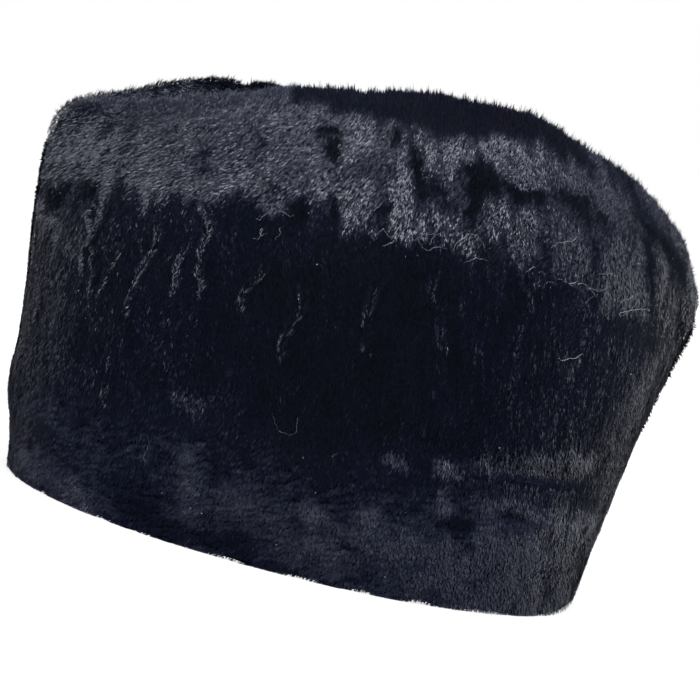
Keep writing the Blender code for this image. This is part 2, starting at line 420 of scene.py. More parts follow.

# Front corner of the combed pile, where a painted highlight lightens the strands, foot of the erect crest,
# the share of its extra length on the left, and the lowest height of a strand above the table
CORNER_ALONG = 266.0
CORNER_UP = 12.0
CREST_FOOT = 137.0
LEFT_CREST = 0.55
TABLE_CLEAR = 0.15

# Material slots of a pile: lying strands; strands that stand or hang in shade, a duller copy that is
# painted shade; the erect crest, a matte copy whose lighter colour stands in for its sheen; and the combed
# strands above the rim with much sheen, a lighter copy that is painted sheen. Each material has eight
# casts of colour.
LYING, SHADED, CREST, COMBED = range(4)
CASTS = 8


def column(table, index):
    return np.array([row[index] for row in table], dtype=float)


def rows_for(side, table):
    """The rows of a table for one side; a row of side 0 holds for both."""
    return [row[1:] for row in table if row[0] in (0, side)]


def smooth(value, table, index):
    """Read a column of a table with a smooth curve that never overshoots its rows."""
    keys, levels = column(table, 0), column(table, index)
    width = np.diff(keys)
    slope = np.diff(levels) / width
    tangent = np.zeros(len(keys))
    both = slope[:-1] * slope[1:]
    total = slope[:-1] + slope[1:]
    tangent[1:-1] = np.where(both > 0.0, 2.0 * both / np.where(total == 0.0, 1.0, total), 0.0)
    tangent[[0, -1]] = slope[[0, -1]]
    span = np.clip(np.searchsorted(keys, value, side="right") - 1, 0, len(width) - 1)
    part = (value - keys[span]) / width[span]
    bend = (1.0 - part) * tangent[span] - part * tangent[span + 1]
    line = levels[span] + eased(part) * (levels[span + 1] - levels[span])
    return line + part * (1.0 - part) * width[span] * bend


def shoulder(along, index):
    return np.interp(along, column(SHOULDER, 0), column(SHOULDER, index))


def bump(distance):
    """A soft bump: 1 in its middle and 0 from a distance of 1 on."""
    near = np.clip(np.abs(distance), 0.0, 1.0)
    return (1.0 - near ** 2) ** 2


def fade(value, start, span):
    """0 before the start and 1 after the span; a negative span runs downward."""
    return np.clip((value - start) / span, 0.0, 1.0)


def eased(part):
    return part * part * (3.0 - 2.0 * part)


def unit(vectors):
    return vectors / np.maximum(np.linalg.norm(vectors, axis=-1, keepdims=True), 1e-9)


def wall_points(side, station, rise, inset):
    """Points of a side wall; an inset of 0 is the pile side and of 1 the flesh side."""
    lens = smooth(rise, SECTIONS, LENS_SHARE)
    reach_inset = WALL * inset * (1.0 + LENS_REACH_GAIN * lens)
    width_inset = WALL * inset * (1.0 + SHOULDER_GAIN * rise ** 4)
    top_inset = WALL * inset * RIDGE_SHARE * rise ** 3
    along = (1.0 - lens) * -np.cos(math.pi * station) + lens * (2.0 * station - 1.0)
    front, back = smooth(rise, SECTIONS, FRONT_REACH), smooth(rise, SECTIONS, BACK_REACH)
    reach = np.where(along > 0.0, front, back) - reach_inset
    half_width = smooth(rise, SECTIONS, HALF_WIDTH) - width_inset
    across = half_width * np.maximum(1.0 - along ** 2, 0.0) ** (0.5 + 0.5 * lens)
    lift = smooth(station, RIDGES, RIM_LIFT)
    height = lift + rise * (smooth(station, RIDGES, RIGHT_RIDGE if side < 0 else LEFT_RIDGE) - lift)
    for place, change, length in rows_for(side, CREST_DENTS):
        height += change * bump((station - place) / length) * rise ** 6
    height -= top_inset
    for level, depth, half, start, stop in rows_for(side, CREASES):
        window = bump((station - 0.5 * (start + stop)) / (0.5 * (stop - start)))
        across -= depth * window * bump((height - level) / half)
    across = np.maximum(across, 0.5 * SEAM_GAP)
    return np.stack([along * reach, across, height], axis=-1)


def crest_edge(side, station):
    """Outer and inner seam edge of the rolled crest, with the angle the roll has turned."""
    top = wall_points(side, station, np.ones_like(station), 0.0)
    full = ROLL_RADIUS * math.sin(ROLL_TURN)
    short = np.minimum(top[:, 1] - 0.5 * SEAM_GAP, full + TIP_ROLL_EXTRA)
    reach = np.clip(np.where(top[:, 1] - full >= CROWN_TIP_HALF_WIDTH, full, short), 0.0, ROLL_MOST)
    turned = np.arcsin(reach / ROLL_RADIUS)
    outer = top.copy()
    outer[:, 1] -= reach
    outer[:, 2] -= ROLL_RADIUS * (1.0 - np.cos(turned))
    inner = outer.copy()
    inner[:, 0] = wall_points(side, station, np.ones_like(station), 1.0)[:, 0]
    open_seam = top[:, 1] - reach > SEAM_GAP
    inner[:, 1] = np.where(open_seam, outer[:, 1] + WALL * np.sin(turned), 0.5 * SEAM_GAP)
    drop_open = WALL * np.cos(turned)
    drop_closed = WALL * (RIDGE_SHARE + ROLLED_SEAM_GAIN * reach / ROLL_RADIUS)
    inner[:, 2] = outer[:, 2] - np.where(open_seam, drop_open, drop_closed)
    return outer, inner, turned


def rim_wave(side, along):
    """How far the cut edge of the rim is raised at each place along it."""
    wave = 0.40 + 0.30 * noise(along / 6.0, 2.5 * side, 51) + 0.30 * noise(along / 2.2, 4.5 * side, 52)
    for place, half, change in rows_for(side, RIM_MARKS):
        wave += change * bump((along - place) / half)
    return np.maximum(wave, 0.0)


def panel_grid(side, columns, rows, roll_rows):
    """The pile side, the flesh side and the along and up values of a panel on one grid."""
    station = np.linspace(0.0, 1.0, columns + 1)
    rise = np.linspace(0.0, 1.0, rows + 1)
    stations, rises = np.meshgrid(station, rise, indexing="ij")
    outer_edge, inner_edge, turned = crest_edge(side, station)
    share = (np.arange(1, roll_rows + 1) / roll_rows)[None, :]
    rolled = turned[:, None] * share
    along = ALONG * np.repeat(station[:, None], rows + 1 + roll_rows, axis=1)
    up = np.concatenate([UP * rises, UP + ROLL_RADIUS * rolled], axis=1)
    raised = rim_wave(side, along) * np.exp(-(up / RIM_REACH) ** 2)
    layers = []
    for inset, edge in ((0.0, outer_edge), (1.0, inner_edge)):
        wall = wall_points(side, stations, rises, inset)
        top = wall[:, -1:]
        if inset > 0.0:
            roll = top + share[..., None] * (edge[:, None] - top)
        else:
            roll = np.repeat(top, roll_rows, axis=1)
            roll[..., 1] -= ROLL_RADIUS * np.sin(rolled)
            roll[..., 2] -= ROLL_RADIUS * (1.0 - np.cos(rolled))
        sheet = np.concatenate([wall, roll], axis=1)
        sheet[..., 1] = np.maximum(sheet[..., 1], 0.5 * SEAM_GAP) * side
        sheet[..., 2] += raised
        layers.append(sheet)
    return layers[0], layers[1], along, up


def swell(side, along, up):
    """Gentle lumps of the pelt, with the fuller and thinner places of the table."""
    height = 0.30 * noise(along / 6.0, up / 8.0, 41 + side)
    height += 0.16 * noise(along / 2.4, up / 3.0, 53 + side)
    for place, level, half_along, half_up, amount in rows_for(side, SWELLS):
        height += amount * bump((along - place) / half_along) * bump((up - level) / half_up)
    return height


def crown_grid(columns, half_rows):
    """The pile side, the flesh side and the along and across values of the crown on one grid."""
    station = np.linspace(0.0, 1.0, columns + 1)
    edges = {side: crest_edge(side, station) for side in (-1, 1)}
    wide = np.minimum(edges[-1][0][:, 1], edges[1][0][:, 1]) >= CROWN_TIP_HALF_WIDTH
    half = edges[-1][0][wide, 1]
    depth = VALLEY_DEPTH * (half / half.max()) ** VALLEY_TAPER
    seam_height = {side: edges[side][0][wide, 2] for side in (-1, 1)}
    bottom = 0.5 * (seam_height[-1] + seam_height[1]) - depth
    rows = []
    steps = [(-1, k / half_rows) for k in range(half_rows)]
    steps += [(1, 1.0 - k / half_rows) for k in range(half_rows + 1)]
    for side, inward in steps:
        outer, inner, turned = (part[wide] for part in edges[side])
        fall = 1.0 - (1.0 - inward) ** VALLEY_POWER
        across = side * (half - CROWN_GAP * np.cos(turned)) * (1.0 - inward)
        height = outer[:, 2] - CROWN_GAP * np.sin(turned) - (seam_height[side] - bottom) * fall
        rows.append((outer[:, 0], across, height, inner[:, 0]))
    top, under_x = np.split(np.array(rows).transpose(2, 0, 1), [3], axis=2)
    tangent = unit(np.gradient(top[..., 1:], axis=1))
    under = top.copy()
    under[..., :1] = under_x
    under[..., 1] += WALL * tangent[..., 1]
    under[..., 2] -= WALL * tangent[..., 0]
    for row, side in ((0, -1), (-1, 1)):
        turned = edges[side][2][wide]
        under[:, row, 1] = top[:, row, 1] + side * WALL * np.sin(turned)
        under[:, row, 2] = top[:, row, 2] - WALL * np.cos(turned)
    return top, under, top[..., 0] + 0.5 * ALONG, top[..., 1]


def grid_of(side, panel_size, crown_size):
    return panel_grid(side, *panel_size) if side else crown_grid(*crown_size)


def noise(x, y, seed):
    """Smooth noise from -1 to 1 with features about 1 unit across."""
    table = np.random.default_rng(seed).uniform(-1.0, 1.0, (256, 256))
    cell_x, cell_y = np.floor(x).astype(int), np.floor(y).astype(int)
    part_x, part_y = eased(x - cell_x), eased(y - cell_y)
    left, low = cell_x % 256, cell_y % 256
    right, high = (left + 1) % 256, (low + 1) % 256
    below = table[left, low] * (1.0 - part_x) + table[right, low] * part_x
    above = table[left, high] * (1.0 - part_x) + table[right, high] * part_x
    return below * (1.0 - part_y) + above * part_y


def tufts(x, y, seed):
    """One random value from -1 to 1 for each small tuft, about 1 unit across."""
    table = np.random.default_rng(seed).uniform(-1.0, 1.0, (256, 256))
    row = np.floor(y).astype(int)
    shifted = np.floor(x + 0.5 * (row % 2) + 0.35 * np.sin(2.1 * row)).astype(int)
    return table[shifted % 256, row % 256]


# Ranges of the scattered patches: half length, half height, lean and change of sheen
PATCH_RANGES = ((3.0, 12.0), (4.0, 10.0), (-10.0, 25.0), (-0.40, 0.75))


def scattered(seed, count, low, high, curls):
    """Patches or curls for a pelt that the photo doesn't show, in the same style."""
    rng = np.random.default_rng(seed)
    rows = []
    for _ in range(count):
        along = rng.uniform(5.0, 295.0)
        up = rng.uniform(low, high)
        if curls:
            run = rng.uniform(12.0, 36.0)
            lean = rng.uniform(-3.0, 9.0)
            rows.append((along, up, along + lean, up - run, rng.uniform(-2.5, 2.5), rng.uniform(0.5, 1.0)))
        else:
            rows.append((along, up, *(rng.uniform(*limits) for limits in PATCH_RANGES)))
    return tuple(rows)


LEFT_PATCHES = scattered(21, 46, 8.0, 140.0, False) + (
    (24, 155, 16, 9, 0, 0.03),
    (43, 154, 5, 9, 0, -0.06),
    (68, 154, 10, 9, 0, -0.16),
    (100, 155, 14, 9, 0, -0.22),
    (170, 156, 60, 9, 0, -0.9),
)

# Nap, patches and curls of each side
COATS = {
    -1: (NAP, PATCHES, CURLS),
    1: (NAP, LEFT_PATCHES, scattered(22, 22, 70.0, 125.0, True)),
    0: (CROWN_NAP, scattered(23, 26, -48.0, 48.0, False), scattered(24, 14, -30.0, 46.0, True)),
}


def patched(patches, along, up):
    """Change of sheen that the patches make at each place."""
    total = np.zeros_like(along)
    for place, level, half_along, half_up, lean, amount in patches:
        turn = math.tan(math.radians(lean))
        across = (along - place - turn * (up - level)) / half_along
        rise = (up - level) / half_up
        total += amount * np.exp(-(across ** 2 + rise ** 2) ** PATCH_POWER * PATCH_FALL)
    return total


def curl(curls, along, up):
    """Relief of the curl ridges, the bright lines along their flanks and the push to each side."""
    height, line_light, side_push = np.zeros((3, *along.shape))
    for number, (from_along, from_up, to_along, to_up, sway, size) in enumerate(curls):
        part = (up - from_up) / (to_up - from_up)
        inside = np.clip(part, 0.0, 1.0)
        line = from_along + (to_along - from_along) * inside + sway * np.sin(math.pi * 2.0 * inside)
        line += 1.3 * noise(up / 3.6, 7.3 * number, 5)
        strength = size * np.clip(1.0 - np.abs(part - 0.5) * 2.0, 0.0, 0.25) * 4.0
        away = along - line
        broken = 0.72 + 0.55 * noise(up / 1.9, 3.1 * number + np.sign(away) * 9.0, 6)
        flank = np.exp(-((np.abs(away) - 1.0) / 0.6) ** 2)
        groove = np.exp(-(away / 2.6) ** 2)
        height += strength * (np.exp(-(away / 1.5) ** 2) - 0.5 * np.exp(-(away / 0.5) ** 2))
        line_light += strength * (flank * np.clip(broken, 0.0, 1.0) - 0.22 * groove)
        side_push += strength * np.sign(away) * flank
    return height, line_light, np.clip(side_push, -1.0, 1.0)


def lay_of(nap, along, up):
    """Line and sheen of the pile, blended from the rows of a nap table."""
    weight_sum = np.full_like(along, 1e-6)
    ahead = np.full_like(along, -1e-6)
    aside = np.zeros_like(along)
    sheen = np.full_like(along, 0.3e-6)
    for place, level, spread, row_line, row_sheen in nap:
        weight = np.exp(-((along - place) ** 2 + (up - level) ** 2) / spread ** 2)
        weight_sum += weight
        ahead += weight * math.cos(math.radians(2.0 * row_line))
        aside += weight * math.sin(math.radians(2.0 * row_line))
        sheen += weight * row_sheen
    return np.degrees(0.5 * np.arctan2(aside, ahead)) % 180.0, sheen / weight_sum


def frames_of(outer, inner):
    """Unit vectors along, up and out of a grid's pile side, and the area of its cells."""
    along = np.gradient(outer, axis=0)
    up = np.gradient(outer, axis=1)
    normal = np.cross(along, up)
    cell = np.linalg.norm(normal, axis=2)
    along = unit(along)
    normal = unit(normal * np.sign((normal * (outer - inner)).sum(axis=2, keepdims=True)))
    rise = np.cross(normal, along)
    rise = unit(rise * np.sign((rise * up).sum(axis=2, keepdims=True)))
    return along, rise, normal, cell


def make_mesh(name, points, faces, materials, smooth_faces=True):
    """An object of points in metres and faces with the same number of corners."""
    mesh = bpy.data.meshes.new(name)
    faces = np.asarray(faces)
    mesh.vertices.add(len(points))
    mesh.vertices.foreach_set("co", np.asarray(points, dtype=np.float32).ravel())
    mesh.loops.add(faces.size)
    mesh.loops.foreach_set("vertex_index", faces.astype(np.int32).ravel())
    mesh.polygons.add(len(faces))
    mesh.polygons.foreach_set("loop_start", np.arange(0, faces.size, faces.shape[1], dtype=np.int32))
    mesh.polygons.foreach_set("use_smooth", np.full(len(faces), smooth_faces))
    mesh.update(calc_edges=True)
    for material in materials:
        mesh.materials.append(material)
    piece = bpy.data.objects.new(name, mesh)
    bpy.context.scene.collection.objects.link(piece)
    return piece


def pelt(name, outer, inner, relief, normal, flip, materials):
    """A closed thin skin: pile side, flesh side and the four edges."""
    grain = outer + SKIN_DEPTH * (inner - outer) + relief[..., None] * normal
    points = np.concatenate([grain.reshape(-1, 3), inner.reshape(-1, 3)]) * MM
    count = outer.size // 3
    index = np.arange(count).reshape(outer.shape[:2])
    corners = [index[:-1, :-1], index[1:, :-1], index[1:, 1:], index[:-1, 1:]]
    top = np.stack(corners, axis=-1).reshape(-1, 4)
    under = top[:, [0, 3, 2, 1]] + count
    strips = []
    for edge, turned in ((index[:, 0], 0), (index[:, -1], 1), (index[0], 1), (index[-1], 0)):
        first, second = edge[:-1], edge[1:]
        strip = np.stack([second, first, first + count, second + count], axis=1)
        strips.append(strip[:, ::-1] if turned else strip)
    faces = np.concatenate([top, under] + strips)
    if flip:
        faces = faces[:, ::-1]
    piece = make_mesh(name, points, faces, materials)
    flesh = np.arange(len(faces)) >= len(top)
    piece.data.polygons.foreach_set("material_index", flesh.astype(np.int32))
    return piece


def pick(grid_values, cell, count, rng):
    """Random places on a grid, evenly by area, and the values of each field there."""
    columns, rows = cell.shape
    area = cell[:-1, :-1].ravel()
    total = np.cumsum(area)
    draw = (np.arange(count) + rng.random(count)) / count * total[-1]
    chosen = np.minimum(np.searchsorted(total, draw), area.size - 1)
    i, j = chosen // (rows - 1), chosen % (rows - 1)
    a, b = rng.random(count), rng.random(count)
    read = []
    for values in grid_values:
        u, v = (a[:, None], b[:, None]) if values.ndim == 3 else (a, b)
        low = values[i, j] * (1.0 - u) + values[i + 1, j] * u
        high = values[i, j + 1] * (1.0 - u) + values[i + 1, j + 1] * u
        read.append(low * (1.0 - v) + high * v)
    return read


def wall_sheen(coat, s, h):
    """Line, sheen and curl relief of the pile of a side panel, at s along and h up."""
    nap, patches, curls = coat
    line, sheen = lay_of(nap, s, h)
    leaning = s + 0.30 * (h - 100.0)

    # The bright shoulder has a ragged foot, with streaks and clouds that grow toward the front.
    ragged = 5.0 * noise(leaning / 2.6, h / 16.0, 35) + 3.0 * noise(leaning / 9.0, h / 9.0, 36)
    above = eased(fade(h - shoulder(s, 1) + ragged, *SHOULDER_FOOT))
    front = fade(s, *STREAKS_FROM)
    streaks = noise(leaning / 1.8, h / 9.0, 37)
    clouds = noise(s / 7.0, h / 8.0, 38)
    sheen += (shoulder(s, 2) - sheen) * above
    sheen += (0.05 + 0.09 * front * above) * streaks
    sheen += (0.05 + 0.06 * front * above) * clouds

    # Fine ripples run in the combed pile, wavelets on the shoulder and strokes on the wall's middle.
    ripple = noise(s / 3.2, (h - 0.23 * s) / 0.55 + 1.4 * noise(s / 4.0, h / 3.0, 40), 39)
    wavelet = noise(s / 3.0, (h - 0.45 * s) / 0.8 + 1.6 * noise(s / 4.0, h / 4.0, 46), 47)
    strokes = (1.0 - above) * fade(s, *STROKES_FROM) * fade(h, *STROKES_ABOVE)
    strokes *= 1.0 - 0.5 * fade(s, *FRONT_FROM)
    sheen += 0.16 * fade(h, *COMBED_BELOW) * ripple
    sheen += 0.20 * above * (1.0 - 0.5 * front) * wavelet
    sheen += 0.13 * strokes * noise(leaning / 1.1, h / 6.0, 50)

    # The patches have warped outlines, but less so along the seam of the combed pile.
    calm = 1.0 - 0.65 * np.exp(-((h - COMBED_TOP) / 6.0) ** 2) * fade(s, *CALM_FROM)
    warp, warp_up = (
        calm * (2.2 * noise(s / 5.0, h / 5.0, seed) + noise(s / 1.7, h / 2.0, seed + 2))
        for seed in (31, 32)
    )
    height, light, push = curl(curls, s, h)
    sheen = sheen + patched(patches, s + warp, h + warp_up) + 1.05 * light
    line = line + 12.0 * noise(s / 12.0, h / 12.0, 42) + 12.0 * noise(s / 3.5, h / 4.0, 43)
    return line - 32.0 * push, sheen, CURL_IN_PILE * height


def wall_lay(side, s, h, out, fine, combed, front, rng):
    """Line, sheen, relief and turn of a side panel's strands, and which of them are guard hairs."""
    line, sheen, relief = wall_sheen(COATS[side], s, h)
    grain = (0.08 + 0.30 * np.clip(sheen, 0.0, 1.0)) * (1.0 - 0.8 * combed) * (1.0 - 0.6 * front)
    sheen = np.clip(sheen + grain * fine, 0.0, 1.15)
    slope = np.degrees(np.arcsin(np.clip(out[:, 2], -1.0, 1.0)))
    slope = np.where(out[:, 1] * side >= 0.0, slope, 180.0 - slope)
    face = FACE_LOWEST + sheen * (np.maximum(slope, FACE_BRIGHT) - FACE_LOWEST)
    turn = np.clip(face - slope, ERECT_TURN, 26.0 - 6.0 * combed)
    guard = rng.random(s.size) < 0.10 * fade(h, *GUARD_ABOVE)
    turn = np.where(guard, rng.uniform(ERECT_TURN, -50.0, s.size), turn)
    return line, sheen, relief + swell(side, s, h), turn, guard


def crown_lay(s, h, fine):
    """Line, sheen, relief and turn of the crown's strands."""
    nap, patches, curls = COATS[0]
    line, sheen = lay_of(nap, s, h)
    height, light, _ = curl(curls, s, h)
    sheen = sheen + patched(patches, s, h) + 0.5 * light + 0.12 * fine
    sheen = np.clip(sheen + 0.10 * noise(s / 6.0, h / 6.0, 44), 0.0, 1.0)
    line = line + 14.0 * noise(s / 10.0, h / 10.0, 42) + 12.0 * noise(s / 3.5, h / 4.0, 43)
    return line, sheen, CURL_IN_PILE * height, -74.0 + 68.0 * sheen


def tone_corners(s, h, sheen, combed, crest, seed, rng):
    """Map corners of each strand: its tone across, and its cast and root to tip upward."""
    # Painted sheen: besides the random tone, strands are lighter where their sheen is high.
    tone = 0.42 + 0.14 * noise(s / 14.0, h / 18.0, seed + 1) + 0.22 * np.clip(sheen - 0.4, -0.4, 0.6)
    tone += rng.normal(0.0, 0.14, s.size) * (1.0 - 0.4 * combed)
    # Painted highlight: combed strands with much sheen are lighter still, most at the front corner.
    corner = np.exp(-((s - CORNER_ALONG) / 24.0) ** 2 - ((h - CORNER_UP) / 18.0) ** 2)
    tone += (0.50 + 0.35 * corner) * combed * np.clip(sheen - 0.5, 0.0, 0.6)
    tone += 0.55 * crest * np.maximum(noise(s / 0.9, h / 1.8, 51), 0.0)
    tone = np.clip(tone, 0.03, 0.97)
    hue = noise(s / 6.0, h / 7.0, 45)
    band = np.clip(np.floor(3.4 + 2.6 * hue + rng.normal(0.0, 1.3, s.size)), 0, CASTS - 1)
    return np.stack([
        tone - 0.012, (band + 0.06) / CASTS,
        tone + 0.012, (band + 0.45) / CASTS,
        tone, (band + 0.94) / CASTS,
    ], axis=1)


def pile(name, side, grid, count, mean_length, mean_width, seed, materials):
    """Short blades turned so that their faces meet the light above as the sheen says."""
    outer, inner, along, up = grid
    *frames, cell = frames_of(outer, inner)
    rng = np.random.default_rng(seed)
    fields = pick((outer, inner, *frames, along, up), cell, count, rng)
    skin, flesh, forward, upward, out, s, h = fields
    fine = noise(s / 0.55, h / 0.75, seed + 3)
    tuft = tufts(s / 0.5, h / 0.6, seed + 4)
    on_wall = abs(side)
    combed = fade(h, *COMBED_BELOW) * on_wall
    front = fade(s, *FRONT_FROM) * fade(h, *FRONT_BELOW) * on_wall
    if side:
        line, sheen, relief, turn, guard = wall_lay(side, s, h, out, fine, combed, front, rng)
    else:
        line, sheen, relief, turn = crown_lay(s, h, fine)
        guard = np.zeros(count, dtype=bool)
    jitter = 2.5 - 1.3 * combed + (10.7 - 9.4 * combed) * np.clip(sheen, 0.0, 1.0)
    turn += (rng.normal(0.0, 0.8, count) + 1.3 * tuft) * (jitter * (1.0 - 0.5 * front))
    upright = fade(-turn, *UPRIGHT_FROM)
    crest = fade(h, *CREST_ABOVE) * upright
    steeper = (88.0 + 14.0 * crest - line) * 0.8 * upright
    line = line + steeper + 10.0 * fine + 12.0 * tuft + rng.normal(0.0, 8.0, count)

    # Strands beside the seams at the front and back lie across them.
    near_seam = fade(np.minimum(s, ALONG - s), *SEAM_REACH) * fade(h, *CROSSING_BELOW)
    crossing = rng.random(count) < 0.9 * near_seam
    toward_seam = np.where(s < 0.5 * ALONG, 180.0, 0.0) + rng.normal(0.0, 28.0, count)
    line = np.where(crossing, toward_seam, line)
    lean = np.where(crossing, CROSSING_LEAN, np.maximum(np.abs(turn), 5.0))
    sense = np.where(crossing | (turn < 0.0), 1.0, -1.0)

    spikes = np.maximum(noise(s / 0.8, h / 0.8, 48) + 0.3 * noise(s / 4.0, h / 4.0, 49), 0.0)
    spikes = 1.0 + crest * (0.35 + 1.3 * spikes) * (LEFT_CREST if side > 0 else 1.0)
    short = 1.0 - 0.22 * fade(h, *SHORT_BELOW) * on_wall
    length = mean_length * short * spikes * (0.75 + 0.5 * rng.random(count))
    length *= 1.0 + 0.4 * crossing - 0.25 * guard
    width = mean_width * (0.7 + 0.6 * rng.random(count)) * (1.0 + 0.6 * crossing + 0.65 * combed)

    angle = np.radians(line)[:, None]
    tilt = np.radians(lean)[:, None]
    lying = sense[:, None] * (np.cos(angle) * forward + np.sin(angle) * upward)
    pointing = np.cos(tilt) * lying + np.sin(tilt) * out
    beside = unit(np.cross(pointing, out))
    raised = np.cross(beside, pointing)
    roll = (rng.uniform(-1.0, 1.0, count) * (0.30 - 0.22 * combed + 0.35 * upright))[:, None]
    blade = np.cos(roll) * beside + np.sin(roll) * raised
    blade *= np.where(rng.random(count) < 0.5, 1.0, -1.0)[:, None]
    sunk = 0.15 + 0.9 * fade(lean, *SUNK_FROM)
    root = skin + ROOT_DEPTH * (flesh - skin) + (relief + 0.18 * tuft - sunk)[:, None] * out
    waist = root + (0.45 * length)[:, None] * pointing + width[:, None] * blade
    tip = root + length[:, None] * pointing
    points = np.stack([root, waist, tip], axis=1).reshape(-1, 3)
    points[:, 2] = np.maximum(points[:, 2], TABLE_CLEAR)
    piece = make_mesh(name, points * MM, np.arange(3 * count).reshape(-1, 3), list(materials), False)

    # Strands in shade take a duller copy, painted shade; combed strands with much sheen a lighter copy,
    # painted sheen; the erect crest a matte copy whose lighter colour stands in for its sheen
    erect = upright > 0.35
    shaded = erect | (sheen + rng.normal(0.0, 0.12, count) < 0.15) | crossing
    kind = np.where(shaded, SHADED, np.where(combed * sheen > 0.38, COMBED, LYING))
    kind = np.where(erect & (h > CREST_FOOT), CREST, kind)
    piece.data.polygons.foreach_set("material_index", kind.astype(np.int32))
    corners = tone_corners(s, h, sheen, combed, crest, seed, rng)
    for map_name in ("PileTone", "OFBake"):
        layer = piece.data.uv_layers.new(name=map_name)
        layer.data.foreach_set("uv", corners.astype(np.float32).ravel())
    return piece


def on_panel(side, along, up, lift):
    """Points a little above the pile side of a panel's wall."""
    places = []
    for more_along, more_up in ((0.0, 0.0), (0.5, 0.0), (0.0, 0.5)):
        station, rise = fade(along + more_along, 0.0, ALONG), fade(up + more_up, 0.0, UP)
        places.append(wall_points(side, station, rise, 0.0) * (1, side, 1))
    here, ahead, above = places
    return here + lift[..., None] * unit(np.cross(ahead - here, above - here) * -side)


def curved(points, steps):
    """A smooth line through the points."""
    points = np.asarray(points, dtype=float)
    ends = np.concatenate([2.0 * points[:1] - points[1:2], points, 2.0 * points[-1:] - points[-2:-1]])
    part = (np.arange(steps) / steps)[:, None]
    pieces = []
    for a, b, c, d in zip(ends[:-3], ends[1:-2], ends[2:-1], ends[3:]):
        pieces.append(0.5 * (2.0 * b + (c - a) * part + (2.0 * a - 5.0 * b + 4.0 * c - d) * part ** 2
                             + (3.0 * b - a - 3.0 * c + d) * part ** 3))
    return np.concatenate(pieces + [points[-1:]])


def hair(side, line, rng):
    """Points and faces of one thin three-sided hair that follows a line."""
    path = curved(line, 7)
    count = len(path)
    wobble = np.cumsum(rng.normal(0.0, 0.24, (count, 2)), axis=0)
    wobble -= np.linspace(0.0, 1.0, count)[:, None] * wobble[-1]
    path += wobble
    wave = np.linspace(0.0, 3.0, count) * rng.uniform(1.0, 3.0) + rng.uniform(0.0, 6.0)
    centre = on_panel(side, path[:, 0], path[:, 1], HAIR_LIFT + 0.35 * np.sin(wave))
    ahead = unit(np.gradient(centre, axis=0))
    first = unit(np.cross(ahead, (0.31, 0.22, 0.92)))
    second = np.cross(ahead, first)
    taper = 1.0 - 0.6 * np.abs(np.linspace(-1.0, 1.0, count)) ** 4
    radius = (HAIR_RADIUS * rng.uniform(0.6, 1.1) * taper)[:, None]
    ring = np.arange(count - 1)
    points, faces = [], []
    for corner in range(3):
        angle = corner * math.tau / 3.0
        points.append(centre + radius * (math.cos(angle) * first + math.sin(angle) * second))
        low, high = corner * count + ring, (corner + 1) % 3 * count + ring
        faces.append(np.stack([low, high, high + 1], axis=1))
        faces.append(np.stack([low, high + 1, low + 1], axis=1))
    faces.append([[0, 2 * count, count], [count - 1, 2 * count - 1, 3 * count - 1]])
    return np.concatenate(points), np.concatenate(faces)


def lint(side, count, rng):
    """Points and faces of small flecks, half of them along the foot of the shoulder."""
    place = rng.uniform(6.0, 292.0, count)
    near_edge = shoulder(place, 1) + rng.normal(0.0, 5.0, count)
    level = np.where(rng.random(count) < 0.5, near_edge, rng.uniform(6.0, 136.0, count))
    centre = on_panel(side, place, level, np.full(count, 0.3))
    size = rng.uniform(0.10, 0.24, (count, 1))
    corners = centre[:, None] + size[:, None] * rng.normal(0.0, 0.8, (count, 4, 3))
    start = 4 * np.arange(count)[:, None]
    faces = [start + sides for sides in ((0, 2, 1), (0, 1, 3), (1, 2, 3), (2, 0, 3))]
    return corners.reshape(-1, 3), np.concatenate(faces)


def loose_hairs(name, side, lines, flecks, seed, material):
    """Thin hairs that follow the lines, and lint, as one mesh."""
    rng = np.random.default_rng(seed)
    parts = [hair(side, line, rng) for line in lines] + [lint(side, flecks, rng)]
    starts = np.cumsum([0] + [len(points) for points, _ in parts])
    points = np.concatenate([points for points, _ in parts])
    faces = np.concatenate([faces + start for (_, faces), start in zip(parts, starts)])
    return make_mesh(name, points * MM, faces, [material], False)


def wandering(seed, count, at_shoulder):
    """Lines of short loose hairs, along the foot of the bright shoulder or anywhere."""
    rng = np.random.default_rng(seed)
    lines = []
    for _ in range(count):
        here = np.array([rng.uniform(20.0, 280.0), rng.uniform(30.0, 125.0)])
        if at_shoulder:
            here = np.array([rng.uniform(95.0, 250.0), rng.normal(105.0, 5.0)])
        heading = rng.uniform(0.0, math.tau)
        line = [here]
        for _ in range(rng.integers(2, 6)):
            heading += rng.normal(0.0, 1.1)
            here = here + rng.uniform(0.7, 2.4) * np.array([math.cos(heading), math.sin(heading)])
            line.append(here)
        lines.append(line)
    return lines


def new_material(name):
    material = bpy.data.materials.new(name)
    material.use_nodes = True
    tree = material.node_tree
    return material, tree, tree.nodes["Principled BSDF"]


def fill(tree, node, inputs):
    """Give each input its value, or the socket that feeds it."""
    for key, value in inputs.items():
        if isinstance(value, bpy.types.NodeSocket):
            tree.links.new(value, node.inputs[key])
        else:
            node.inputs[key].default_value = value


def add(tree, kind, inputs, **settings):
    """A new shader node with its settings and inputs."""
    node = tree.nodes.new("ShaderNode" + kind)
    for key, value in settings.items():
        setattr(node, key, value)
    fill(tree, node, inputs)
    return node


def ramp(tree, factor, stops):
    node = add(tree, "ValToRGB", {"Fac": factor})
    elements = node.color_ramp.elements
    while len(elements) < len(stops):
        elements.new(0.5)
    for element, (place, colour) in zip(elements, stops):
        element.position = place
        element.color = (*colour, 1.0)
    return node.outputs["Color"]


def smooth_step(tree, value, start, stop, low, high):
    node = add(tree, "MapRange", {
        "Value": value, "From Min": start, "From Max": stop, "To Min": low, "To Max": high,
    }, interpolation_type="SMOOTHSTEP")
    return node.outputs["Result"]


def for_camera(tree, output, other, seen):
    """The camera sees the last shader, and all other rays meet the one before it."""
    path = add(tree, "LightPath", {})
    inputs = {0: path.outputs["Is Camera Ray"], 1: other.outputs[0], 2: seen.outputs[0]}
    either = add(tree, "MixShader", inputs)
    fill(tree, tree.nodes[output], {"Surface": either.outputs[0]})
